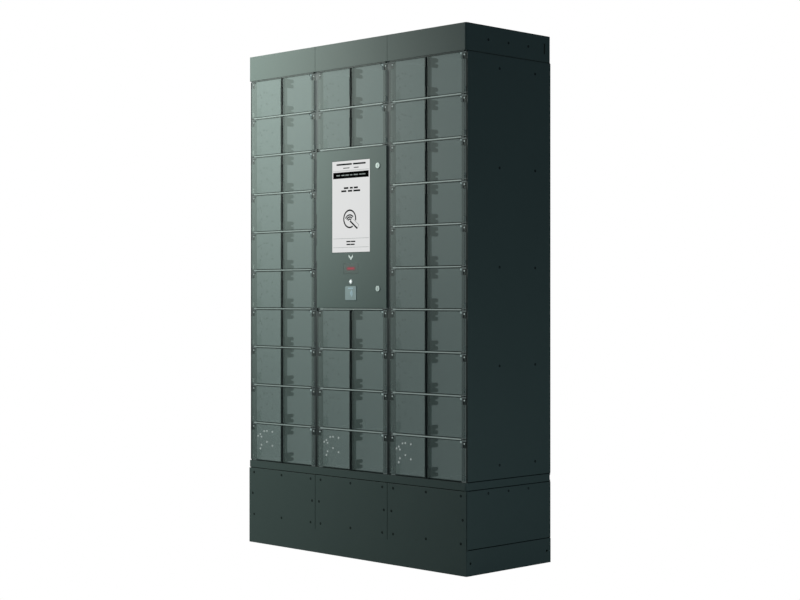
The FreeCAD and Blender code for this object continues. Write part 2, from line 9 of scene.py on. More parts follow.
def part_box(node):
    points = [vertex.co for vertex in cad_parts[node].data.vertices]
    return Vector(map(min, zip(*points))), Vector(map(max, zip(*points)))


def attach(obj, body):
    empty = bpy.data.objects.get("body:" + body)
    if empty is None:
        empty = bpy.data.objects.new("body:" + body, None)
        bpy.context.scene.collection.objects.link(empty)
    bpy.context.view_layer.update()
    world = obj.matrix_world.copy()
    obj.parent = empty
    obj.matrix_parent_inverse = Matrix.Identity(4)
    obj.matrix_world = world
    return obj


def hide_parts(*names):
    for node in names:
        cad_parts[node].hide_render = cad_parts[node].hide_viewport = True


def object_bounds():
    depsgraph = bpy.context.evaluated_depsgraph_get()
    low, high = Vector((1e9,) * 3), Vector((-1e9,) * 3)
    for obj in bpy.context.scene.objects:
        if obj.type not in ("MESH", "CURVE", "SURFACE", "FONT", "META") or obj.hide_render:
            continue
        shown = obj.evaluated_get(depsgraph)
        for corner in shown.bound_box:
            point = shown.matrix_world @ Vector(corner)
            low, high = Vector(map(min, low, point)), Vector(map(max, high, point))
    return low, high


# Looks of the charging locker, in metres. X runs to the right, Y to the back and Z up.

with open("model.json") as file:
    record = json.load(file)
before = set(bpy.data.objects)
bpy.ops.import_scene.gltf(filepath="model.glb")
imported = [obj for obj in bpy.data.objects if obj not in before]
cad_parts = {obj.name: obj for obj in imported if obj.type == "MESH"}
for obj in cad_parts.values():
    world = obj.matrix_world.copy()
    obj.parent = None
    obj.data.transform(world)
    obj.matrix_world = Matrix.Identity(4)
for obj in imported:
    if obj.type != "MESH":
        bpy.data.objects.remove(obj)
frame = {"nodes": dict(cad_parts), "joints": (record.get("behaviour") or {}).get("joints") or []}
cad_low, cad_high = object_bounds()
JOINTS = {joint["child"]: joint for joint in frame["joints"]}

# Places read from the frame, and the middle of each bay
BAYS = ("left", "centre", "right")
ROW_COUNT = 10
FRONT = cad_low.y
SIDE = cad_high.x
DOOR_LOW, DOOR_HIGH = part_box("door_right_b01")
DOOR_FEET = [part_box(f"door_right_b{row:02d}")[0].z for row in range(1, ROW_COUNT + 1)]
DOOR_HEIGHT = DOOR_HIGH.z - DOOR_LOW.z
ROW_PITCH = DOOR_FEET[0] - DOOR_FEET[1]
ROW_LIFT = (ROW_PITCH - DOOR_HEIGHT) / 2
HINGE = Vector(JOINTS["door_right_b01"]["pos_m"])
BAY_PITCH = 2 * SIDE / len(BAYS)
BAY_MIDDLES = {bay: (i - 1) * BAY_PITCH for i, bay in enumerate(BAYS)}
HINGE_OUT = HINGE.x - BAY_PITCH
CARCASS_LOW, CARCASS_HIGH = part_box("carcass")
PANEL_LOW, PANEL_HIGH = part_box("control_door")
CELLS_TOP = CARCASS_HIGH.z
JAMB_FRONT = CARCASS_LOW.y
TRAY_TOP = DOOR_FEET[-1] - ROW_LIFT

# Doors, measured from the hinge line
PANE_GAP = 0.00275
PANE_THICK = 0.005
PANE_EDGE = 0.0006
PANE_CORNER = 0.0025
PANE_OUT = DOOR_HIGH.x - HINGE.x
PANE_FRONT = DOOR_LOW.y - HINGE.y
PANE_BACK = PANE_FRONT + PANE_THICK
NOTCH_WIDE = 0.018
NOTCH_HIGH = 0.025
STEP_WIDE = 0.027
STEP_HIGH = 0.008
ROD_RADIUS = 0.002
ROD_FIT = 0.00005
LEAF_REACH = 0.009
LEAF_THICK = 0.0023
LEAF_HIGH = 0.035
LEAF_EDGE = 0.001
LEAF_FEET = (LEAF_EDGE, DOOR_HEIGHT - LEAF_EDGE - LEAF_HIGH)
KNUCKLE_FLATS = 6
STRIKE_WIDE = 0.010
STRIKE_HIGH = 0.019
STRIKE_THICK = 0.0025
STRIKE_IN = 0.001
STRIKE_UP = 0.002

# Hinge plates on the dividers, with their screws' heads as pairs of radius and depth
PLATE_FACE = 0.001
PLATE_THICK = 0.003
PLATE_GAP = 0.0001
PLATE_FRONT = HINGE.y + ROD_RADIUS + PLATE_GAP
PLATE_DEPTH = 0.062
PLATE_REAR = FRONT + PLATE_DEPTH
LOBE_RADIUS = 0.0072
LOBE_FLATS = 8
NOTCH_DEPTH = 0.015
PLATE_HEAD = ((0, 0), (0.0026, 0), (0.0020, -0.0008), (0, -0.0008))
HEAD_FLATS = 8
ROD_DEPTH = 0.02
TRIM_HALF = 0.0065
TRIM_THICK = 0.002

# Front bars of the shelves, measured from the middle of the bay
BAR_HALF = 0.002
BAR_END = 0.173
BAR_IN = 0.002
BAR_FRONT = FRONT + BAR_IN
LIP_HIGH = 0.0042
SILL_HIGH = 0.0006
NOSE_HALF = 0.006
NOSE_THICK = 0.002
NOSE_END = JAMB_FRONT + NOSE_THICK
CELL_HALF = 0.188
JAMB_EDGE = 0.1675

# Sheets that close the top row and the lowest row of cells
CEILING_THICK = 0.0015
FLOOR_THICK = 0.0010
BACK_THICK = 0.0015
BACK_FACE = CARCASS_HIGH.y - BACK_THICK

# Indicator lights, measured from the outer edge and the top of a door
LIGHT_IN = 0.007
LIGHT_DOWN = 0.010
LIGHT_RADIUS = 0.0030
LIGHT_PROUD = 0.003
LIGHT_EDGE = 0.0008
LIGHT_CROWN = 0.6
LIGHT_FLATS = 10
BACKING_WIDE = 0.0165
BACKING_HIGH = 0.0235
BACKING_THICK = 0.0015

# Screws, with the covers that carry them sunk by the height of a head.
# The head's outline is in shares of its radius and height.
SCREW_RADIUS = 0.0048
SCREW_PROUD = 0.0005
SCREW_SEAT = 0.0002
SCREW_SINK = SCREW_PROUD + SCREW_SEAT
SCREW_HEAD = ((0, 0), (1, 0), (1, 0.6), (0.85, 1), (0.4, 1))
SCREW_DRIVE = 0.3
SCREW_FLATS = 12
SIDE_SCREWS = [(depth, z) for depth in (0.179, 0.378) for z in (1.822, 1.462, 1.102, 0.744, 0.384)]
END_SCREWS = [(depth, z) for depth in (0.118, 0.228, 0.339) for z in (1.920, 0.287)]
PLINTH_SCREWS = [(x, z) for x in (-0.169, 0.0, 0.173) for z in (0.285, 0.115)]
PLINTH_SCREWS += [(-0.178, 0.200), (0.182, 0.200)]

# Painted shade: dark strips in the seams of the plinth that stand in for the shade in them, and the foot
# strip that closes its front seams
SEAM_LEVELS = (0.0925, 0.3035, 0.3335)
FRONT_SEAM = SEAM_LEVELS[1]
SEAM_HALF = 0.006
SHADE_STRIP_IN = 0.0012
SHADE_STRIP_THICK = 0.0015
SHADE_STRIP_FRONT = 0.013
FOOT_HIGH = 0.091
FOOT_HALF = 0.004
FOOT_IN = 0.0006

# Screws of a cell's outer wall: behind the front, and below the shelf over the cell.
# Their head is in pairs of radius and depth.
WALL_SCREWS = (
    (0.037, 0.057), (0.049, 0.051), (0.055, 0.062), (0.069, 0.040), (0.084, 0.040),
    (0.113, 0.046), (0.084, 0.085), (0.055, 0.095), (0.049, 0.109), (0.113, 0.103),
)
WALL_HEAD = ((0, 0), (0.0042, 0), (0.0032, -0.0016), (0, -0.0016))

# Charging ports, from the middle of the bay.
# The rim and the slot of a socket have a half width, a height over the face and a half height.
PORT_MIDDLE = 0.094
PORT_HIGH = 0.034
SOCKET_SIDES = (-0.014, 0.014)
SOCKET_SEAT = 0.0010
SOCKET_RIM = (0.0085, 0.0012, 0.0045)
SOCKET_SLOT = (0.0065, 0.0015, 0.0025)

# Control panel
PANEL_FACE = PANEL_LOW.y
LUG_GAP = 0.0003
MARK_LIFT = 0.0002
CHEVRON = ((-0.012, 0.011), (0, 0.001), (0.012, 0.011), (0.012, 0.003), (0, -0.010), (-0.012, 0.003))
CHEVRON_RISE = 0.192
SCANNER_GLOW = (0.050, 0.014)
SCANNER_CORE = (0.034, 0.0055)
READER_ARCS = (0.006, 0.011, 0.016)
READER_ARC_WIDE = 0.0026
READER_ARC_TURN = 50
READER_ARC_LEFT = 0.006
READER_BAR = (0.028, 0.0030)
READER_BAR_RISE = 0.019

# Round lens: the front of its ring in shares of the radius and heights over the panel's face
RING_BODY = 0.88
RING_LIP = ((0.88, -0.001), (1, 0), (1, 0.0008), (0.94, 0.0012), (0.88, 0.0012), (0.86, 0), (0, 0))
DOME_SHARE = 0.85
DOME_SEAT = 0.0005
DOME_FLATS = 6
# The share of the dome's radius that takes the painted highlight
DOME_GLINT_SHARE = 0.4
LENS_FLATS = 32

# Screen, with its inks by their place in the piece's materials. Its bars are in millimetres:
# the place across, the place below the top, the width, the height and the ink.
PAGE, BAND, GREY, DARK = 1, 2, 3, 4
SCREEN_WIDE = 0.211
SCREEN_HIGH = 0.352
SCREEN_EDGE = 0.0015
SCREEN_BARS = (
    (-37, 14.5, 85, 6.2, DARK), (47, 14.5, 69, 6.2, DARK),
    (-25, 28.8, 35, 3.0, DARK), (30, 28.8, 26, 3.0, DARK),
    (0, 38.7, 197, 1.2, GREY), (0, 56.0, 197, 24.0, BAND),
    (-26, 105.3, 25, 6.8, DARK), (3, 105.3, 16, 6.8, DARK), (28, 105.3, 22, 6.8, DARK),
    (-39, 116.8, 28, 6.8, DARK), (-4, 116.8, 24, 6.8, DARK), (33, 116.8, 37, 6.8, DARK),
    (0, 298, 197, 1.2, GREY), (-13, 310, 23, 5.0, DARK), (13, 310, 24, 5.0, DARK),
    (-13, 321, 21, 5.0, DARK), (10, 321, 22, 5.0, DARK), (0, 332, 197, 1.2, GREY),
)
BAND_DOWN = 0.0560
BAND_MARKS = ((-70, 20), (-43, 17), (-20, 21), (3, 12), (28, 24), (64, 34))
BAND_MARK_HIGH = 0.0036

# Card sign on the screen: its ring as an arc, the radii of the waves in it, and the card's edges
SIGN_LEFT = 0.006
SIGN_DOWN = 0.2235
SIGN_RING = (0.033, 0.0058, -12, 300, 28)
SIGN_WAVES = (0.011, 0.019, 0.027)
WAVE_WIDE = 0.0050
WAVE_DOWN = 0.012
SIGN_STICKS = (
    ((0.002, -0.008), (0.042, -0.038), 0.0064, DARK),
    ((0.019, -0.001), (0.050, -0.024), 0.0018, GREY),
    ((0.042, -0.038), (0.050, -0.024), 0.0018, GREY),
)

# Rounded edges, and the length under which a lock's edge stays sharp
SHEET_ROUND = 0.0006
SMALL_ROUND = 0.0005
NOSE_ROUND = 0.0004
UNIT_ROUND = 0.0010
PORT_ROUND = 0.0016
SLOT_ROUND = 0.0003
READER_ROUND = 0.0008
LOCK_SHORTEST = 0.0012

# Camera, level, at the photograph's angle
CAMERA_PLACE = (4.4827, -4.4542, 0.9830)
CAMERA_TURN = math.radians(44.961)
CAMERA_LENS = 72.7

# Lights: place, aim, size, power and tint
KEY_LIGHT = ((-1.249, -1.053, 2.206), (-1.359, FRONT, 1.834), (1.434, 2.116), 63.0, (0.90, 1.0, 0.92))
LOW_CARD = ((2.6, 0.0, 0.1), (0.6, 0.0, 0.3), (2.4, 0.4), 8.0, (0.76, 1.0, 1.03))
SURROUND_TINT = (0.69, 1.0, 1.15)
SURROUND_LEVEL = 0.15
FLOOR_TINT = (0.40, 0.42, 0.42)
FLOOR_SIZE = 60

# Painted light in the cells, given as its levels low down and at the top: it stands in for the light
# that falls from the upper left to the lower right. The gaps between the bays get painted light
# only at the top, more on the left.
PAINTED_LIGHT_TINT = (0.84, 1.0, 1.01)
LEFT_PAINTED_LIGHT = (0.191, 0.281)
RIGHT_PAINTED_LIGHT = (0.125, 0.148)
GAP_PAINTED_LIGHT = (0.10, 0.0)
# Painted light on the jambs in front of the cells, and on the posts behind the panes' outer edges
JAMB_PAINTED_LIGHT = (0.010, 0.018, 0.016)
POST_PAINTED_LIGHT = (0.070, 0.086, 0.084)
NO_PAINTED_LIGHT = (0, 0, 0)

# Coats of the cells and of the dark jambs in front of them, and painted shade in the gaps between the
# bays
CELL_COATS = ((0.36, 0.42, 0.39), (0.42, 0.48, 0.45))
JAMB_COAT = (0.042, 0.054, 0.050)
GAP_PAINTED_SHADE = (0.014, 0.018, 0.017)
DARK_DEPTH = 0.030
OUTER_SKIN = 0.0009

# Surfaces: dust, the share of a lit face's faintest place, and bumps as strength and depth
DUST_SHARE = 0.25
DUST_TINT = (0.30, 0.31, 0.30)
FAINT_SHARE = 0.96
METAL_GRAIN = (400.0, 400.0, 30.0)
COVER_BUMP = (0.12, 0.0004)
CELL_BUMP = (0.1, 0.0004)
PLASTIC_BUMP = (0.15, 0.0002)

MERGE = 1e-6
FLAT = math.radians(1)
SHARP = math.radians(30)


# Materials

def new_material(name, **values):
    """A material with a plain shader, and the nodes to build on."""
    material = bpy.data.materials.new(name)
    material.use_nodes = True
    shader = material.node_tree.nodes["Principled BSDF"]
    for socket, value in values.items():
        shader.inputs[socket.replace("_", " ")].default_value = value
    return material, material.node_tree, shader


def add_node(tree, kind, **values):
    """A node with its own values, given by socket name or by property."""
    node = tree.nodes.new(kind)
    for name, value in values.items():
        if hasattr(node, name):
            setattr(node, name, value)
        else:
            node.inputs[name.replace("_", " ")].default_value = value
    return node


def new_group(name, inputs, outputs):
    """A node group with named value inputs and outputs."""
    tree = bpy.data.node_groups.new(name, "ShaderNodeTree")
    for label, value in inputs.items():
        socket = tree.interface.new_socket(label, in_out="INPUT", socket_type="NodeSocketFloat")
        socket.default_value = value
    for label in outputs:
        tree.interface.new_socket(label, in_out="OUTPUT", socket_type="NodeSocketFloat")
    return tree, tree.nodes.new("NodeGroupInput"), tree.nodes.new("NodeGroupOutput")


def coat_group():
    """Powder coat: a fine peel for the bump and a broad, faint mottle for colour and gloss."""
    sizes = {"Peel size": 700.0, "Mottle size": 6.0}
    tree, given, made = new_group("coat_surface", sizes, ("Peel", "Mottle"))
    place = add_node(tree, "ShaderNodeTexCoord")
    peel = add_node(tree, "ShaderNodeTexNoise", Detail=2.0, Roughness=0.55)
    mottle = add_node(tree, "ShaderNodeTexNoise", Detail=4.0, Roughness=0.6)
    for noise, size in ((peel, "Peel size"), (mottle, "Mottle size")):
        tree.links.new(place.outputs["Object"], noise.inputs["Vector"])
        tree.links.new(given.outputs[size], noise.inputs["Scale"])
    tree.links.new(peel.outputs["Fac"], made.inputs["Peel"])
    tree.links.new(mottle.outputs["Fac"], made.inputs["Mottle"])
    return tree


def dust_group():
    """Dust that settles on what faces up, in uneven patches."""
    tree, given, made = new_group("settled_dust", {"Amount": DUST_SHARE}, ("Dust",))
    place = add_node(tree, "ShaderNodeTexCoord")
    patch = add_node(tree, "ShaderNodeTexNoise", Scale=9.0, Detail=5.0)
    tree.links.new(place.outputs["Object"], patch.inputs["Vector"])
    way = add_node(tree, "ShaderNodeNewGeometry")
    split = add_node(tree, "ShaderNodeSeparateXYZ")
    tree.links.new(way.outputs["Normal"], split.inputs["Vector"])
    up = add_node(tree, "ShaderNodeMath", operation="MULTIPLY", use_clamp=True)
    tree.links.new(split.outputs["Z"], up.inputs[0])
    tree.links.new(patch.outputs["Fac"], up.inputs[1])
    share = add_node(tree, "ShaderNodeMath", operation="MULTIPLY")
    tree.links.new(up.outputs["Value"], share.inputs[0])
    tree.links.new(given.outputs["Amount"], share.inputs[1])
    tree.links.new(share.outputs["Value"], made.inputs["Dust"])
    return tree


COAT = coat_group()
DUST = dust_group()


def place_group(tree, group, **values):
    """A shared node group in a material, with its own values."""
    node = tree.nodes.new("ShaderNodeGroup")
    node.node_tree = group
    for name, value in values.items():
        node.inputs[name.replace("_", " ")].default_value = value
    return node


def mix_colours(tree, factor, first, second):
    """A colour between two, by a mask."""
    node = add_node(tree, "ShaderNodeMix", data_type="RGBA")
    tree.links.new(factor, node.inputs["Factor"])
    for socket, value in (("A", first), ("B", second)):
        slot = [s for s in node.inputs if s.name == socket and s.type == "RGBA"][0]
        if isinstance(value, bpy.types.NodeSocket):
            tree.links.new(value, slot)
        else:
            slot.default_value = (*value, 1)
    return [s for s in node.outputs if s.type == "RGBA"][0]


def spread(tree, value, low, high):
    """A value from 0 to 1 carried to a range."""
    node = add_node(tree, "ShaderNodeMapRange", To_Min=low, To_Max=high)
    tree.links.new(value, node.inputs["Value"])
    return node.outputs["Result"]


def along(tree, value, start, end):
    """How far a value has come from a start to an end, from 0 to 1."""
    node = add_node(tree, "ShaderNodeMapRange", From_Min=start, From_Max=end)
    tree.links.new(value, node.inputs["Value"])
    return node.outputs["Result"]


def painted_light_colour(level):
    """The colour of the light painted into the cells at a level."""
    return tuple(level * share for share in PAINTED_LIGHT_TINT)


def bump(tree, shader, height, strength, distance):
    """A bump from a height, on the shader's normal."""
    node = add_node(tree, "ShaderNodeBump", Strength=strength, Distance=distance)
    tree.links.new(height, node.inputs["Height"])
    tree.links.new(node.outputs["Normal"], shader.inputs["Normal"])


def coordinate(tree, axis):
    """A place's coordinate along an axis."""
    place = add_node(tree, "ShaderNodeTexCoord")
    split = add_node(tree, "ShaderNodeSeparateXYZ")
    tree.links.new(place.outputs["Object"], split.inputs["Vector"])
    return split.outputs[axis]


def calculated(tree, operation, value, number):
    """A value worked out from another one and a number."""
    node = add_node(tree, "ShaderNodeMath", operation=operation)
    tree.links.new(value, node.inputs[0])
    node.inputs[1].default_value = number
    return node.outputs["Value"]


def past(tree, value, edge):
    """A mask that is 1 where a value is past an edge."""
    return calculated(tree, "GREATER_THAN", value, edge)


def either(tree, first, second):
    """A mask that is 1 where one of two masks is."""
    node = add_node(tree, "ShaderNodeMath", operation="MAXIMUM")
    tree.links.new(first, node.inputs[0])
    tree.links.new(second, node.inputs[1])
    return node.outputs["Value"]


def coated(name, dark, light, rough):
    """Satin powder coat between two near tints, with its peel and some dust."""
    material, tree, shader = new_material(name)
    coat = place_group(tree, COAT)
    fall = place_group(tree, DUST)
    tint = mix_colours(tree, coat.outputs["Mottle"], dark, light)
    dusty = mix_colours(tree, fall.outputs["Dust"], tint, DUST_TINT)
    tree.links.new(dusty, shader.inputs["Base Color"])
    tree.links.new(spread(tree, coat.outputs["Mottle"], *rough), shader.inputs["Roughness"])
    bump(tree, shader, coat.outputs["Peel"], *COVER_BUMP)
    return material


def inner_coat_and_painted_light():
    """The cells' light coat with painted light, a dark coat on the jambs in front (with faint painted
    light) and outside, and painted shade in the bays' gaps.
    """
    material, tree, shader = new_material("cell_coat_and_painted_light", Emission_Strength=1.0)
    coat = place_group(tree, COAT)
    wall = mix_colours(tree, coat.outputs["Mottle"], *CELL_COATS)
    across, depth, height = (coordinate(tree, axis) for axis in "XYZ")
    inside = past(tree, depth, FRONT + DARK_DEPTH)
    rear = past(tree, depth, CARCASS_HIGH.y - OUTER_SKIN)
    off_middle = calculated(tree, "PINGPONG", across, BAY_PITCH / 2)
    outside = either(tree, rear, past(tree, off_middle, CELL_HALF + OUTER_SKIN))
    post = past(tree, off_middle, JAMB_EDGE)
    gap = past(tree, off_middle, HINGE_OUT + PANE_OUT)
    # Painted shade in the gaps between the bays, the dark jamb coat elsewhere in front
    front_tone = mix_colours(tree, gap, JAMB_COAT, GAP_PAINTED_SHADE)
    tone = mix_colours(tree, inside, front_tone, mix_colours(tree, outside, wall, JAMB_COAT))
    # Painted light, brighter to the upper left and darker to the lower right
    share = along(tree, across, -SIDE, SIDE)
    rise = along(tree, height, DOOR_FEET[-1], CELLS_TOP)
    left = mix_colours(tree, rise, *map(painted_light_colour, LEFT_PAINTED_LIGHT))
    right = mix_colours(tree, rise, *map(painted_light_colour, RIGHT_PAINTED_LIGHT))
    cell_painted_light = mix_colours(tree, outside, mix_colours(tree, share, left, right), NO_PAINTED_LIGHT)
    gap_top = mix_colours(tree, share, *map(painted_light_colour, GAP_PAINTED_LIGHT))
    gap_painted_light = mix_colours(tree, rise, NO_PAINTED_LIGHT, gap_top)
    front_painted_light = mix_colours(tree, post, JAMB_PAINTED_LIGHT, mix_colours(tree, gap, POST_PAINTED_LIGHT, gap_painted_light))
    painted_emission = mix_colours(tree, inside, front_painted_light, cell_painted_light)
    tree.links.new(tone, shader.inputs["Base Color"])
    tree.links.new(painted_emission, shader.inputs["Emission Color"])
    tree.links.new(spread(tree, coat.outputs["Mottle"], 0.45, 0.6), shader.inputs["Roughness"])
    bump(tree, shader, coat.outputs["Peel"], *CELL_BUMP)
    return material


def smoked_pane():
    """Smoked clear plastic, with faint smears in its gloss."""
    material, tree, shader = new_material("smoked_pane", Alpha=0.5, Specular_IOR_Level=0.65)
    coat = place_group(tree, COAT, Peel_size=90.0, Mottle_size=14.0)
    tint = mix_colours(tree, coat.outputs["Mottle"], (0.098, 0.124, 0.116), (0.105, 0.134, 0.125))
    tree.links.new(tint, shader.inputs["Base Color"])
    tree.links.new(spread(tree, coat.outputs["Mottle"], 0.54, 0.60), shader.inputs["Roughness"])
    return material


def moulded(name, dark, light, rough, gloss=0.5):
    """Moulded plastic with a fine grain."""
    material, tree, shader = new_material(name, Specular_IOR_Level=gloss)
    coat = place_group(tree, COAT, Peel_size=1600.0, Mottle_size=60.0)
    tint = mix_colours(tree, coat.outputs["Mottle"], dark, light)
    tree.links.new(tint, shader.inputs["Base Color"])
    tree.links.new(spread(tree, coat.outputs["Mottle"], *rough), shader.inputs["Roughness"])
    bump(tree, shader, coat.outputs["Peel"], *PLASTIC_BUMP)
    return material


def metal(name, dark, light, rough, share=1.0):
    """Bare or plated metal with a fine drawn grain."""
    material, tree, shader = new_material(name, Metallic=share)
    place = add_node(tree, "ShaderNodeTexCoord")
    stretch = add_node(tree, "ShaderNodeMapping", Scale=METAL_GRAIN)
    noise = add_node(tree, "ShaderNodeTexNoise", Scale=1.0, Detail=3.0)
    tree.links.new(place.outputs["Object"], stretch.inputs["Vector"])
    tree.links.new(stretch.outputs["Vector"], noise.inputs["Vector"])
    tint = mix_colours(tree, noise.outputs["Fac"], dark, light)
    tree.links.new(tint, shader.inputs["Base Color"])
    tree.links.new(spread(tree, noise.outputs["Fac"], *rough), shader.inputs["Roughness"])
    return material


def lit(name, colour, unlit=(0.1, 0.1, 0.1), rough=0.4):
    """A lit face, a little uneven."""
    material, tree, shader = new_material(name, Roughness=rough, Emission_Strength=1.0)
    coat = place_group(tree, COAT, Mottle_size=9.0)
    pale = tuple(c * FAINT_SHARE for c in colour)
    tint = mix_colours(tree, coat.outputs["Mottle"], pale, colour)
    tree.links.new(tint, shader.inputs["Emission Color"])
    shader.inputs["Base Color"].default_value = (*unlit, 1)
    return material


OUTER = coated("anthracite_coat", (0.051, 0.070, 0.065), (0.057, 0.078, 0.072), (0.55, 0.60))
PANEL_COAT = coated("panel_coat", (0.078, 0.105, 0.098), (0.085, 0.114, 0.107), (0.55, 0.60))
SCREW_COAT = moulded("screw_coat", (0.004, 0.005, 0.005), (0.006, 0.007, 0.007), (0.6, 0.7), 0.1)
# Painted shade for the seams of the plinth
SEAM_SHADE = moulded("seam_shade", (0.004, 0.005, 0.005), (0.006, 0.007, 0.007), (0.7, 0.8), 0.1)
CELL = inner_coat_and_painted_light()
# Painted light: an even light on the shelf bars and the painted wall screws, standing in for the lamp's
# light on them
PALE_PAINTED_LIGHT = lit("pale_painted_light", (0.150, 0.180, 0.172), (0.090, 0.114, 0.106))
PANE = smoked_pane()
STRIKE = moulded("strike_tab", (0.70, 0.76, 0.74), (0.78, 0.84, 0.82), (0.4, 0.5))
BLACK = moulded("black_plastic", (0.026, 0.033, 0.031), (0.032, 0.040, 0.038), (0.5, 0.6))
ZINC = metal("zinc_plate", (0.62, 0.64, 0.63), (0.78, 0.80, 0.79), (0.3, 0.42))
BRIGHT = metal("satin_nickel", (0.62, 0.66, 0.64), (0.70, 0.74, 0.72), (0.46, 0.54), 0.10)
# Painted light on the lens dome
LENS_PAINTED_LIGHT = lit("lens_painted_light", (0.43, 0.48, 0.47))
LIT_LENS = lit("lit_lens", (0.23, 0.28, 0.27))
# Painted glint: near-white light on the lowest wall screws and on the middle of the lens dome
PAINTED_GLINT = lit("painted_glint", (0.92, 1.0, 0.97), (0.4, 0.4, 0.4))
SCREEN = lit("lit_screen", (0.70, 0.70, 0.70), (0.02, 0.02, 0.02), 0.8)
GREY_INK = moulded("grey_ink", (0.34, 0.34, 0.34), (0.38, 0.38, 0.38), (0.7, 0.8), 0.0)
SIGN_INK = moulded("sign_ink", (0.016, 0.017, 0.018), (0.020, 0.021, 0.022), (0.7, 0.8), 0.0)
DARK_STEEL = metal("dark_steel", (0.16, 0.17, 0.17), (0.22, 0.23, 0.23), (0.35, 0.45))
ALUMINIUM = metal("aluminium", (0.50, 0.51, 0.52), (0.60, 0.61, 0.62), (0.35, 0.45))
WINDOW = moulded("scanner_glass", (0.066, 0.086, 0.080), (0.072, 0.094, 0.087), (0.45, 0.5))
RED_GLOW = lit("red_glow", (0.10, 0.036, 0.042), (0.08, 0.03, 0.03), 0.7)
RED_CORE = lit("red_core", (0.29, 0.018, 0.040), (0.08, 0.02, 0.02), 0.7)
INK = moulded("screen_ink", (0.002, 0.002, 0.002), (0.003, 0.003, 0.003), (0.7, 0.8), 0.0)
WHITE_INK = moulded("white_ink", (0.78, 0.79, 0.78), (0.84, 0.85, 0.84), (0.5, 0.6))
READER = moulded("reader_plastic", (0.26, 0.32, 0.33), (0.31, 0.37, 0.38), (0.4, 0.5))
READER_BLUE = moulded("reader_mark", (0.46, 0.60, 0.70), (0.52, 0.65, 0.75), (0.4, 0.5))


# Shapes

def slab(points, run):
    """A closed shape: a flat outline carried along a run."""
    bm = bmesh.new()
    face = bm.faces.new([bm.verts.new(p) for p in points])
    grown = bmesh.ops.extrude_face_region(bm, geom=[face], use_keep_orig=True)["geom"]
    moved = [v for v in grown if isinstance(v, bmesh.types.BMVert)]
    bmesh.ops.translate(bm, vec=run, verts=moved)
    bmesh.ops.recalc_face_normals(bm, faces=bm.faces)
    return bm


def block(low, high):
    """A box between two corners."""
    x0, y0, z0 = low
    x1, y1, z1 = high
    return slab([(x0, y0, z0), (x1, y0, z0), (x1, y1, z0), (x0, y1, z0)], (0, 0, z1 - z0))


def turned(profile, steps):
    """A round shape about the Y axis, from radius and depth pairs."""
    bm = bmesh.new()
    verts = [bm.verts.new((r, y, 0)) for r, y in profile]
    edges = [bm.edges.new(pair) for pair in zip(verts, verts[1:])]
    bmesh.ops.spin(
        bm, geom=verts + edges, cent=(0, 0, 0), axis=(0, 1, 0),
        angle=2 * math.pi, steps=steps, use_merge=True,
    )
    bmesh.ops.remove_doubles(bm, verts=bm.verts, dist=MERGE)
    bmesh.ops.recalc_face_normals(bm, faces=bm.faces)
    return bm


def soften(bm, width, segments=2, pick=None):
    """Round the sharp edges of a mesh, or those of them that are picked."""
    sharp = [e for e in bm.edges if e.is_manifold and abs(e.calc_face_angle()) > SHARP]
    chosen = [e for e in sharp if pick is None or pick(e)]
    bmesh.ops.bevel(
        bm, geom=chosen, offset=width, offset_type="OFFSET", affect="EDGES",
        segments=segments, profile=0.5, material=-1, clamp_overlap=True,
    )
    return bm


def shape_of(bm, index):
    """A finished shape to stamp, with one material index all over."""
    for face in bm.faces:
        face.material_index = index
    mesh = bpy.data.meshes.new("shape")
    bm.to_mesh(mesh)
    bm.free()
    return mesh


def stamp(bm, shape, matrix):
    """Add a copy of a shape to a mesh at a place, and turn its faces out if it is mirrored."""
    placed = shape.copy()
    placed.transform(matrix)
    if matrix.determinant() < 0:
        placed.flip_normals()
    bm.from_mesh(placed)
    bpy.data.meshes.remove(placed)


def at(x, y, z):
    """A move to a place."""
    return Matrix.Translation((x, y, z))


MIRROR = Matrix.Scale(-1, 4, (1, 0, 0))


def copy_of(node):
    """A merged copy of a solid, with its flat faces made whole."""
    bm = bmesh.new()
    bm.from_mesh(frame["nodes"][node].data)
    for face in bm.faces:
        face.material_index = 0
    bmesh.ops.remove_doubles(bm, verts=bm.verts, dist=MERGE)
    bmesh.ops.dissolve_limit(bm, angle_limit=FLAT, verts=bm.verts, edges=bm.edges)
    return bm


def kept_inside(bm):
    """Bring back what a rounded edge pushed out of the whole frame's box."""
    for vert in bm.verts:
        vert.co = [min(max(c, low), high) for c, low, high in zip(vert.co, cad_low, cad_high)]
    return bm


def keep_islands(bm, keep):
    """Take away the separate bodies of a mesh that aren't kept."""
    left = set(bm.verts)
    dropped = []
    while left:
        island = [left.pop()]
        for vert in island:
            linked = [e.other_vert(vert) for e in vert.link_edges]
            fresh = [v for v in linked if v in left]
            left.difference_update(fresh)
            island.extend(fresh)
        if not keep(island):
            dropped.extend(island)
    bmesh.ops.delete(bm, geom=dropped, context="VERTS")


def finish_piece(name, bm, materials, body, replaced=()):
    """A finished piece that rides on a body."""
    mesh = bpy.data.meshes.new(name)
    bm.to_mesh(mesh)
    bm.free()
    for material in materials:
        mesh.materials.append(material)
    piece = bpy.data.objects.new(name, mesh)
    bpy.context.scene.collection.objects.link(piece)
    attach(piece, body)
    if replaced:
        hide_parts(*replaced)
    return piece


# Doors

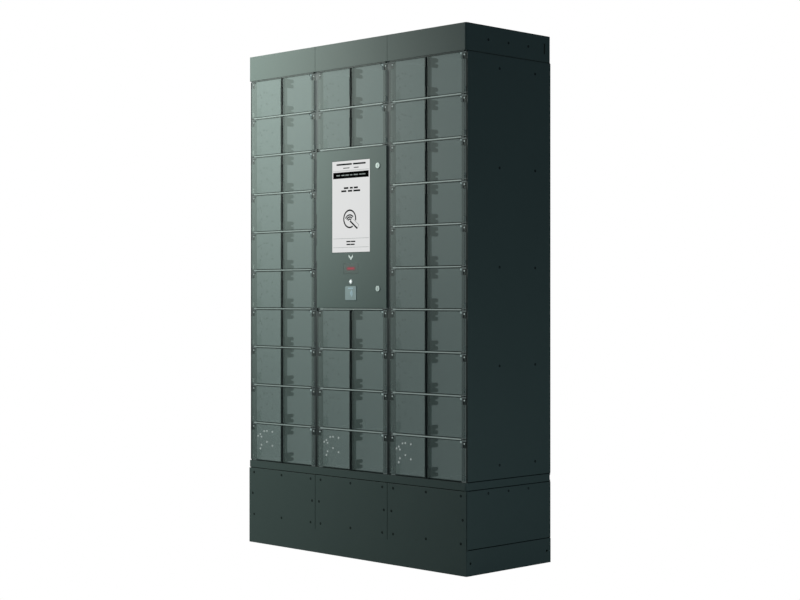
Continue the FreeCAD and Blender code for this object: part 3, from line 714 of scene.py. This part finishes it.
def pane_shape():
    """A pane with the stepped notch round its light."""
    top = DOOR_HEIGHT
    outline = [
        (PANE_GAP, 0),
        (PANE_OUT, 0),
        (PANE_OUT, top - NOTCH_HIGH),
        (PANE_OUT - NOTCH_WIDE, top - NOTCH_HIGH),
        (PANE_OUT - NOTCH_WIDE, top - STEP_HIGH),
        (PANE_OUT - STEP_WIDE, top - STEP_HIGH),
        (PANE_OUT - STEP_WIDE, top),
        (PANE_GAP, top),
    ]
    bm = slab([(x, PANE_FRONT, z) for x, z in outline], (0, PANE_THICK, 0))
    soften(bm, PANE_CORNER, 3, lambda e: abs(e.verts[0].co.y - e.verts[1].co.y) > MERGE)
    soften(bm, PANE_EDGE)
    shape = shape_of(bm, 0)
    # Painted shade: the faces along the hinge edge take the black plastic, so the gap between the panes
    # reads dark
    for face in shape.polygons:
        if face.center.x < PANE_GAP + PANE_EDGE:
            face.material_index = 1
    return shape


def leaf_shape():
    """A hinge leaf: a knuckle half round the rod, and a plate behind the pane."""
    bore = ROD_RADIUS + ROD_FIT
    outline = [
        (0, PANE_FRONT),
        (PANE_GAP, PANE_FRONT),
        (PANE_GAP, PANE_BACK),
        (LEAF_REACH, PANE_BACK),
        (LEAF_REACH, PANE_BACK + LEAF_THICK),
        (0, PANE_BACK + LEAF_THICK),
    ]
    for i in range(KNUCKLE_FLATS + 1):
        turn = math.pi / 2 - math.pi * i / KNUCKLE_FLATS
        outline.append((bore * math.cos(turn), bore * math.sin(turn)))
    bm = slab([(x, y, 0) for x, y in outline], (0, 0, LEAF_HIGH))
    return shape_of(bm, 1)


def strike_shape():
    """The tab that the latch holds, behind the lower outer corner of the pane."""
    outer = PANE_OUT - STRIKE_IN
    low = (outer - STRIKE_WIDE, PANE_BACK, STRIKE_UP)
    high = (outer, PANE_BACK + STRIKE_THICK, STRIKE_UP + STRIKE_HIGH)
    return shape_of(soften(block(low, high), SHEET_ROUND), 2)


def door_pieces():
    """Every door: a pane, two leaves and a strike tab, one piece to each body."""
    pane, leaf, strike = pane_shape(), leaf_shape(), strike_shape()
    for node in [n for n in frame["nodes"] if n.startswith("door") and n != "door_hinges"]:
        axis = Vector(JOINTS[node]["pos_m"])
        hand = MIRROR if JOINTS[node]["axis"][2] > 0 else Matrix.Identity(4)
        low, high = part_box(node)
        feet = [z for z in DOOR_FEET if low.z - MERGE < z + DOOR_HEIGHT / 2 < high.z]
        if high.z - low.z > 2 * ROW_PITCH:
            feet = [z for z in feet if not PANEL_LOW.z < z + DOOR_HEIGHT / 2 < PANEL_HIGH.z]
        bm = bmesh.new()
        for foot in feet:
            place = at(axis.x, axis.y, foot) @ hand
            stamp(bm, pane, place)
            for rise in LEAF_FEET:
                stamp(bm, leaf, place @ at(0, 0, rise))
            stamp(bm, strike, place)
        finish_piece(node + "_glazed", bm, (PANE, BLACK, STRIKE), node, (node,))


def cells():
    """The middle of the bay, the side and the foot of every cell."""
    for bay, middle in BAY_MIDDLES.items():
        for foot in DOOR_FEET:
            if bay == "centre" and PANEL_LOW.z < foot + DOOR_HEIGHT / 2 < PANEL_HIGH.z:
                continue
            for hand in (Matrix.Identity(4), MIRROR):
                yield middle, hand, foot


# Hinge plates and rods

def plate_shape():
    """A plate on the right face of a divider, with two round lobes and a notch at its rear."""
    outline = [(PLATE_FRONT, 0)]
    for lobe in (LOBE_RADIUS, LEAF_HIGH - LOBE_RADIUS):
        for i in range(LOBE_FLATS + 1):
            turn = -math.pi / 2 + math.pi * i / LOBE_FLATS
            rear = PLATE_REAR - LOBE_RADIUS + LOBE_RADIUS * math.cos(turn)
            outline.append((rear, lobe + LOBE_RADIUS * math.sin(turn)))
        if lobe == LOBE_RADIUS:
            outline.append((PLATE_REAR - NOTCH_DEPTH, 2 * LOBE_RADIUS))
            outline.append((PLATE_REAR - NOTCH_DEPTH, LEAF_HIGH - 2 * LOBE_RADIUS))
    outline.append((PLATE_FRONT, LEAF_HIGH))
    bm = slab([(PLATE_FACE, y, z) for y, z in outline], (PLATE_THICK, 0, 0))
    bmesh.ops.remove_doubles(bm, verts=bm.verts, dist=MERGE)
    return shape_of(bm, 0)


def plate_screws():
    """The two small screws in a plate's lobes."""
    shape = shape_of(turned(PLATE_HEAD, HEAD_FLATS), 1)
    bm = bmesh.new()
    for lobe in (LOBE_RADIUS, LEAF_HIGH - LOBE_RADIUS):
        face = at(PLATE_FACE + PLATE_THICK - SCREW_SEAT, PLATE_REAR - LOBE_RADIUS, lobe)
        stamp(bm, shape, face @ Matrix.Rotation(math.pi / 2, 4, "Z"))
    mesh = bpy.data.meshes.new("screws")
    bm.to_mesh(mesh)
    bm.free()
    return mesh


def hinge_piece():
    """The fixed halves of the hinges: the rods, the plates and a trim along each divider's edge."""
    bm = copy_of("door_hinges")
    keep_islands(bm, lambda verts: max(v.co.y for v in verts) < FRONT + ROD_DEPTH)
    low = (-TRIM_HALF, JAMB_FRONT, 0)
    trim = shape_of(block(low, (TRIM_HALF, JAMB_FRONT + TRIM_THICK, DOOR_HEIGHT)), 0)
    for middle, hand, foot in cells():
        if hand is not MIRROR:
            stamp(bm, trim, at(middle, 0, foot))
    shapes = (plate_shape(), plate_screws())
    for middle, hand, foot in cells():
        for rise in LEAF_FEET:
            for shape in shapes:
                stamp(bm, shape, at(middle, 0, foot + rise) @ hand)
    finish_piece("hinge_set", bm, (BLACK, DARK_STEEL), "cabinet", ("door_hinges",))


# Cells

def bar_places():
    """The middle of every front bar of the shelves: between the rows, and round the control panel."""
    for bay, middle in BAY_MIDDLES.items():
        for foot in DOOR_FEET[:-1]:
            level = foot - ROW_LIFT
            if bay == "centre" and PANEL_LOW.z < level < PANEL_HIGH.z:
                continue
            yield middle, level


def shelf_sheets():
    """The shelves behind their front strips, with the ceilings and the floors of the bays."""
    bm = copy_of("shelves")
    keep_islands(bm, lambda verts: min(v.co.y for v in verts) > JAMB_FRONT)
    ceiling_low = (-CELL_HALF, NOSE_END, CELLS_TOP - CEILING_THICK)
    ceiling = shape_of(block(ceiling_low, (CELL_HALF, BACK_FACE, CELLS_TOP)), 0)
    floor_low = (-CELL_HALF, NOSE_END, TRAY_TOP - FLOOR_THICK)
    floor = shape_of(block(floor_low, (CELL_HALF, BACK_FACE, TRAY_TOP + FLOOR_THICK)), 0)
    for middle in BAY_MIDDLES.values():
        stamp(bm, ceiling, at(middle, 0, 0))
        stamp(bm, floor, at(middle, 0, 0))
    finish_piece("shelf_sheets", bm, (CELL,), "cabinet", ("shelves",))


def shelf_bars():
    """A bar before each shelf, pale with painted light, with a dark nose behind it and dark edges at the
    top and the foot.
    """
    bar_block = block((-BAR_END, BAR_FRONT, -BAR_HALF), (BAR_END, JAMB_FRONT, BAR_HALF))
    nose_block = block((-JAMB_EDGE, JAMB_FRONT, -NOSE_HALF), (JAMB_EDGE, NOSE_END, NOSE_HALF))
    end_block = block((BAR_END, BAR_FRONT, -BAR_HALF), (CELL_HALF, JAMB_FRONT, BAR_HALF))
    bar = shape_of(soften(bar_block, SMALL_ROUND), 0)
    nose = shape_of(soften(nose_block, NOSE_ROUND), 1)
    end = shape_of(soften(end_block, SMALL_ROUND), 1)
    bm = bmesh.new()
    for middle, level in bar_places():
        place = at(middle, 0, level)
        for shape in (bar, nose, end):
            stamp(bm, shape, place)
        stamp(bm, end, place @ MIRROR)
    lip_low = (-CELL_HALF, BAR_FRONT, CELLS_TOP - LIP_HIGH)
    lip = shape_of(block(lip_low, (CELL_HALF, JAMB_FRONT, CELLS_TOP)), 1)
    sill_low = (-CELL_HALF, BAR_FRONT, TRAY_TOP - SILL_HIGH)
    sill = shape_of(block(sill_low, (CELL_HALF, NOSE_END, TRAY_TOP + SILL_HIGH)), 1)
    for middle in BAY_MIDDLES.values():
        stamp(bm, lip, at(middle, 0, 0))
        stamp(bm, sill, at(middle, 0, 0))
        stamp(bm, nose, at(middle, 0, TRAY_TOP))
    finish_piece("shelf_bars", bm, (PALE_PAINTED_LIGHT, BLACK), "cabinet")


def wall_screws():
    """Round heads in the outer wall of every cell, plated in the lowest row and painted above it. The
    plated heads shine with a painted glint, the painted ones with faint painted light.
    """
    plated, painted = (shape_of(turned(WALL_HEAD, HEAD_FLATS), index) for index in (0, 1))
    bm = bmesh.new()
    for middle, hand, foot in cells():
        # Painted glint on the lowest row's heads, faint painted light on the heads above
        shape = plated if foot < DOOR_FEET[-1] + MERGE else painted
        over = foot - ROW_LIFT + ROW_PITCH
        for depth, down in WALL_SCREWS:
            face = at(CELL_HALF + SCREW_SEAT, FRONT + depth, over - down)
            stamp(bm, shape, at(middle, 0, 0) @ hand @ face @ Matrix.Rotation(-math.pi / 2, 4, "Z"))
    finish_piece("wall_screws", bm, (PAINTED_GLINT, PALE_PAINTED_LIGHT), "cabinet")


def socket_block(size):
    """A block that stands out of a port's face."""
    half, proud, rise = size
    return block((-half, -proud, -rise), (half, SOCKET_SEAT, rise))


def fitting_pieces():
    """The latches, the charging ports and the power supply inside."""
    latch = soften(copy_of("latches"), UNIT_ROUND)
    finish_piece("latch_set", latch, (ZINC,), "cabinet", ("latches",))
    ports = soften(copy_of("charging_ports"), PORT_ROUND)
    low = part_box("charging_ports")[0]
    rise = low.z - DOOR_FEET[-1] + PORT_HIGH / 2
    rim = shape_of(soften(socket_block(SOCKET_RIM), SHEET_ROUND), 1)
    slot = shape_of(soften(socket_block(SOCKET_SLOT), SLOT_ROUND, 1), 0)
    for middle, hand, foot in cells():
        for side in SOCKET_SIDES:
            place = at(PORT_MIDDLE + side, low.y, foot + rise)
            for shape in (rim, slot):
                stamp(ports, shape, at(middle, 0, 0) @ hand @ place)
    finish_piece("port_set", ports, (BLACK, ZINC), "cabinet", ("charging_ports",))
    supply = soften(copy_of("power_supply"), UNIT_ROUND)
    finish_piece("supply_case", supply, (ALUMINIUM,), "cabinet", ("power_supply",))


# Indicator lights

def light_piece():
    """A small lit lens on a black backing, on the jamb beside every door's notch."""
    front = JAMB_FRONT - LIGHT_PROUD
    profile = [(0, JAMB_FRONT), (LIGHT_RADIUS, JAMB_FRONT), (LIGHT_RADIUS, front + LIGHT_EDGE)]
    profile += [(LIGHT_RADIUS * LIGHT_CROWN, front), (0, front)]
    lens = shape_of(turned(profile, LIGHT_FLATS), 1)
    top = LIGHT_DOWN - ROW_LIFT / 2
    low = (LIGHT_IN - BACKING_WIDE, JAMB_FRONT - BACKING_THICK, top - BACKING_HIGH)
    backing = shape_of(soften(block(low, (LIGHT_IN, JAMB_FRONT, top)), SMALL_ROUND), 0)
    bm = bmesh.new()
    for middle, hand, foot in cells():
        x = HINGE_OUT + PANE_OUT - LIGHT_IN
        place = at(middle, 0, 0) @ hand @ at(x, 0, foot + DOOR_HEIGHT - LIGHT_DOWN)
        for shape in (backing, lens):
            stamp(bm, shape, place)
    finish_piece("indicator_set", bm, (BLACK, LIT_LENS), "cabinet", ("indicator_lights",))


# Outer covers

def sunk_cover(node, name, front=False):
    """A folded cover whose outer faces are sunk by the height of its screws' heads."""
    bm = copy_of(node)
    for vert in bm.verts:
        if abs(vert.co.x) > SIDE - MERGE:
            vert.co.x -= math.copysign(SCREW_PROUD, vert.co.x)
        if front and vert.co.y < FRONT + MERGE:
            vert.co.y += SCREW_PROUD
    finish_piece(name, kept_inside(soften(bm, SHEET_ROUND)), (OUTER,), "cabinet", (node,))


def screw_shape():
    """A low round head with a round drive recess, facing the front."""
    recess = -SCREW_SEAT / 2
    profile = [(SCREW_RADIUS * wide, -SCREW_SINK * rise) for wide, rise in SCREW_HEAD]
    profile += [(SCREW_RADIUS * SCREW_DRIVE, recess), (0, recess)]
    return shape_of(turned(profile, SCREW_FLATS), 0)


def seam_shade_strips():
    """Painted shade: dark strips in the seams of the plinth that stand in for the shade in them, and a
    painted strip at the foot of its front seams.
    """
    low = (SIDE - SHADE_STRIP_IN - SHADE_STRIP_THICK, FRONT + SHADE_STRIP_FRONT, -SEAM_HALF)
    side_strip = shape_of(block(low, (SIDE - SHADE_STRIP_IN, cad_high.y - SHADE_STRIP_IN, SEAM_HALF)), 0)
    bm = bmesh.new()
    for level in SEAM_LEVELS:
        stamp(bm, side_strip, at(0, 0, level))
        stamp(bm, side_strip, at(0, 0, level) @ MIRROR)
    half, face = SIDE - SHADE_STRIP_FRONT, FRONT + SHADE_STRIP_IN
    top, foot = FRONT_SEAM + SEAM_HALF, FRONT_SEAM - SEAM_HALF
    across = block((-half, face, foot), (half, face + SHADE_STRIP_THICK, top))
    stamp(bm, shape_of(across, 0), Matrix.Identity(4))
    upright = block((-FOOT_HALF, face, FOOT_HIGH), (FOOT_HALF, face + SHADE_STRIP_THICK, foot))
    painted = block((-FOOT_HALF, FRONT + FOOT_IN, 0), (FOOT_HALF, face, FOOT_HIGH))
    for shape in (shape_of(upright, 0), shape_of(painted, 1)):
        for side in (-BAY_PITCH / 2, BAY_PITCH / 2):
            stamp(bm, shape, at(side, 0, 0))
    finish_piece("seam_shade_strips", bm, (SEAM_SHADE, OUTER), "cabinet")


def cover_pieces():
    """The header, the side covers and the plinth, with their screws."""
    sunk_cover("header", "header_covers")
    sunk_cover("side_panels", "side_covers")
    sunk_cover("plinth_panels", "plinth_covers", True)
    rails = kept_inside(soften(copy_of("plinth_frame"), SHEET_ROUND))
    finish_piece("plinth_rails", rails, (OUTER,), "cabinet", ("plinth_frame",))
    screw = screw_shape()
    bm = bmesh.new()
    for turn in (math.pi / 2, -math.pi / 2):
        for depth, z in SIDE_SCREWS + END_SCREWS:
            face = at(math.copysign(SIDE - SCREW_SINK, turn), FRONT + depth, z)
            stamp(bm, screw, face @ Matrix.Rotation(turn, 4, "Z"))
    for middle in BAY_MIDDLES.values():
        for x, z in PLINTH_SCREWS:
            stamp(bm, screw, at(middle + x, FRONT + SCREW_SINK, z))
    finish_piece("cover_screws", bm, (SCREW_COAT,), "cabinet")
    seam_shade_strips()


# Control panel

def arc_band(radius, width, start, end, steps):
    """The outline of a flat arc between two angles in degrees, in width and height."""
    turns = [math.radians(start + (end - start) * i / steps) for i in range(steps + 1)]
    outer = [(math.cos(t) * (radius + width / 2), math.sin(t) * (radius + width / 2)) for t in turns]
    inner = [(math.cos(t) * (radius - width / 2), math.sin(t) * (radius - width / 2)) for t in turns]
    return outer + inner[::-1]


def flat_mark(bm, outline, middle, face, index):
    """A thin flat mark that stands a little in front of a face."""
    points = [(middle[0] + x, face, middle[1] + z) for x, z in outline]
    shape = shape_of(slab(points, (0, -MARK_LIFT, 0)), index)
    stamp(bm, shape, Matrix.Identity(4))


def bar_outline(wide, high):
    """A plain bar."""
    x, z = wide / 2, high / 2
    return [(-x, -z), (x, -z), (x, z), (-x, z)]


def cut_bar(wide, high):
    """A bar with cut corners."""
    cut = high / 3
    x, z = wide / 2, high / 2
    return [(-x, -z + cut), (-x + cut, -z), (x - cut, -z), (x, -z + cut),
            (x, z - cut), (x - cut, z), (-x + cut, z), (-x, z - cut)]


def stick_outline(start, end, thick):
    """A straight stick between two points."""
    run = Vector((end[0] - start[0], end[1] - start[1])).normalized()
    side = Vector((-run.y, run.x)) * thick / 2
    return [(start[0] - side.x, start[1] - side.y), (end[0] - side.x, end[1] - side.y),
            (end[0] + side.x, end[1] + side.y), (start[0] + side.x, start[1] + side.y)]


def screen_piece():
    """The screen in its black case: a pale page with plain bars and a card sign."""
    bm = soften(copy_of("display"), SMALL_ROUND)
    low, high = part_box("display")
    middle = (low.z + high.z) / 2
    top = middle + SCREEN_HIGH / 2
    page = bar_outline(SCREEN_WIDE - 2 * SCREEN_EDGE, SCREEN_HIGH - 2 * SCREEN_EDGE)
    flat_mark(bm, page, (0, middle), low.y, PAGE)
    face = low.y - MARK_LIFT
    for x, down, wide, tall, ink in SCREEN_BARS:
        bar = bar_outline(wide / 1000, tall / 1000)
        flat_mark(bm, bar, (x / 1000, top - down / 1000), face, ink)
    for x, wide in BAND_MARKS:
        bar = bar_outline(wide / 1000, BAND_MARK_HIGH)
        flat_mark(bm, bar, (x / 1000, top - BAND_DOWN), face - MARK_LIFT, GREY)
    sign = (-SIGN_LEFT, top - SIGN_DOWN)
    flat_mark(bm, arc_band(*SIGN_RING), sign, face, DARK)
    for radius in SIGN_WAVES:
        wave = arc_band(radius, WAVE_WIDE, 45, 150, 10)
        flat_mark(bm, wave, (sign[0], sign[1] - WAVE_DOWN), face, DARK)
    for start, end, thick, ink in SIGN_STICKS:
        flat_mark(bm, stick_outline(start, end, thick), sign, face, ink)
    inks = (BLACK, SCREEN, INK, GREY_INK, SIGN_INK)
    finish_piece("screen_unit", bm, inks, "control_panel", ("display",))


def scanner_piece():
    """The scanner's window, with a red line that glows behind it."""
    bm = soften(copy_of("scanner_window"), SHEET_ROUND)
    low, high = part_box("scanner_window")
    middle = (0, (low.z + high.z) / 2)
    flat_mark(bm, cut_bar(*SCANNER_GLOW), middle, low.y, 1)
    flat_mark(bm, cut_bar(*SCANNER_CORE), middle, low.y - MARK_LIFT, 2)
    face_materials = (WINDOW, RED_GLOW, RED_CORE)
    finish_piece("scanner_glass", bm, face_materials, "control_panel", ("scanner_window",))


def reader_piece():
    """The card reader, with three arcs and a bar on its face."""
    bm = soften(copy_of("card_reader"), READER_ROUND, 3)
    low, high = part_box("card_reader")
    middle = (low.z + high.z) / 2
    for radius in READER_ARCS:
        arc = arc_band(radius, READER_ARC_WIDE, -READER_ARC_TURN, READER_ARC_TURN, 8)
        flat_mark(bm, arc, (-READER_ARC_LEFT, middle), low.y, 1)
    flat_mark(bm, bar_outline(*READER_BAR), (0, middle + READER_BAR_RISE), low.y, 1)
    coats = (READER, READER_BLUE)
    finish_piece("reader_case", bm, coats, "control_panel", ("card_reader",))


def lens_piece():
    """A dome in a turned ring, bright with painted light and a painted highlight at its middle."""
    low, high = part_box("round_lens")
    radius = (high.x - low.x) / 2
    face = PANEL_FACE
    ring = [(0, high.y), (radius * RING_BODY, high.y)]
    ring += [(radius * share, face - rise) for share, rise in RING_LIP]
    bm = bmesh.new()
    place = at(0, 0, (low.z + high.z) / 2)
    stamp(bm, shape_of(turned(ring, LENS_FLATS), 0), place)
    wide = radius * DOME_SHARE
    dome = [(0, face + DOME_SEAT), (wide, face + DOME_SEAT)]
    for i in range(DOME_FLATS + 1):
        turn = math.pi / 2 * i / DOME_FLATS
        dome.append((wide * math.cos(turn), face - (face - low.y) * math.sin(turn)))
    shape = shape_of(turned(dome, LENS_FLATS), 1)
    # Painted highlight: the middle of the dome's front takes the painted glint
    for side in shape.polygons:
        if side.center.y < face and math.hypot(side.center.x, side.center.z) < wide * DOME_GLINT_SHARE:
            side.material_index = 2
    stamp(bm, shape, place)
    for side in bm.faces:
        side.smooth = True
    face_materials = (DARK_STEEL, LENS_PAINTED_LIGHT, PAINTED_GLINT)
    finish_piece("lens_dome", bm, face_materials, "control_panel", ("round_lens",))


def panel_pieces():
    """The control panel's skin and what is set in it."""
    skin = soften(copy_of("control_door"), SHEET_ROUND)
    for vert in skin.verts:
        vert.co.z = min(max(vert.co.z, PANEL_LOW.z + LUG_GAP), PANEL_HIGH.z - LUG_GAP)
    flat_mark(skin, CHEVRON, (0, PANEL_LOW.z + CHEVRON_RISE), PANEL_FACE, 1)
    coats = (PANEL_COAT, WHITE_INK)
    finish_piece("control_skin", skin, coats, "control_panel", ("control_door",))
    screen_piece()
    scanner_piece()
    reader_piece()
    lens_piece()
    for which in ("upper", "lower"):
        node = f"cam_lock_{which}"
        lock = soften(copy_of(node), SMALL_ROUND, 2, lambda e: e.calc_length() > LOCK_SHORTEST)
        finish_piece(f"lock_{which}", lock, (BRIGHT,), node, (node,))


# Stage, light and camera

def stage_floor():
    """A plain pale floor, white to the eye, that throws back only a little light."""
    material, tree, shader = new_material("pale_floor", Roughness=0.9)
    shader.inputs["Base Color"].default_value = (*FLOOR_TINT, 1)
    seen = add_node(tree, "ShaderNodeEmission")
    path = add_node(tree, "ShaderNodeLightPath")
    mix = add_node(tree, "ShaderNodeMixShader")
    tree.links.new(path.outputs["Is Camera Ray"], mix.inputs["Fac"])
    tree.links.new(shader.outputs["BSDF"], mix.inputs[1])
    tree.links.new(seen.outputs["Emission"], mix.inputs[2])
    tree.links.new(mix.outputs["Shader"], tree.nodes["Material Output"].inputs["Surface"])
    bm = bmesh.new()
    bmesh.ops.create_grid(bm, x_segments=1, y_segments=1, size=FLOOR_SIZE)
    mesh = bpy.data.meshes.new("floor")
    bm.to_mesh(mesh)
    bm.free()
    mesh.materials.append(material)
    floor = bpy.data.objects.new("floor", mesh)
    bpy.context.scene.collection.objects.link(floor)


def soft_light(name, place, target, size, power, colour):
    """A rectangular soft box aimed at a point."""
    data = bpy.data.lights.new(name, "AREA")
    data.shape = "RECTANGLE"
    data.size, data.size_y = size
    data.energy = power
    data.color = colour
    light = bpy.data.objects.new(name, data)
    light.location = place
    light.rotation_euler = (Vector(target) - Vector(place)).to_track_quat("-Z", "Y").to_euler()
    bpy.context.scene.collection.objects.link(light)


def stage_light():
    """A white surround for the eye, a dim one for light, a soft box at the upper left and a low card."""
    world = bpy.data.worlds.new("studio")
    world.use_nodes = True
    tree = world.node_tree
    seen = tree.nodes["Background"]
    seen.inputs["Color"].default_value = (1, 1, 1, 1)
    dim = add_node(tree, "ShaderNodeBackground", Strength=SURROUND_LEVEL)
    dim.inputs["Color"].default_value = (*SURROUND_TINT, 1)
    path = add_node(tree, "ShaderNodeLightPath")
    mix = add_node(tree, "ShaderNodeMixShader")
    tree.links.new(path.outputs["Is Camera Ray"], mix.inputs["Fac"])
    tree.links.new(dim.outputs["Background"], mix.inputs[1])
    tree.links.new(seen.outputs["Background"], mix.inputs[2])
    tree.links.new(mix.outputs["Shader"], tree.nodes["World Output"].inputs["Surface"])
    bpy.context.scene.world = world
    soft_light("key", *KEY_LIGHT)
    soft_light("low_card", *LOW_CARD)


def stage_camera():
    """The camera, level, at the photograph's angle."""
    data = bpy.data.cameras.new("camera")
    data.lens = CAMERA_LENS
    data.clip_end = 200
    camera = bpy.data.objects.new("camera", data)
    camera.location = CAMERA_PLACE
    camera.rotation_euler = (math.pi / 2, 0, CAMERA_TURN)
    bpy.context.scene.collection.objects.link(camera)
    bpy.context.scene.camera = camera


carcass = frame["nodes"]["carcass"].data
carcass.materials.clear()
carcass.materials.append(CELL)
door_pieces()
hinge_piece()
shelf_sheets()
shelf_bars()
wall_screws()
fitting_pieces()
light_piece()
cover_pieces()
panel_pieces()
stage_floor()
stage_light()
stage_camera()
bpy.context.scene.view_settings.view_transform = "Standard"
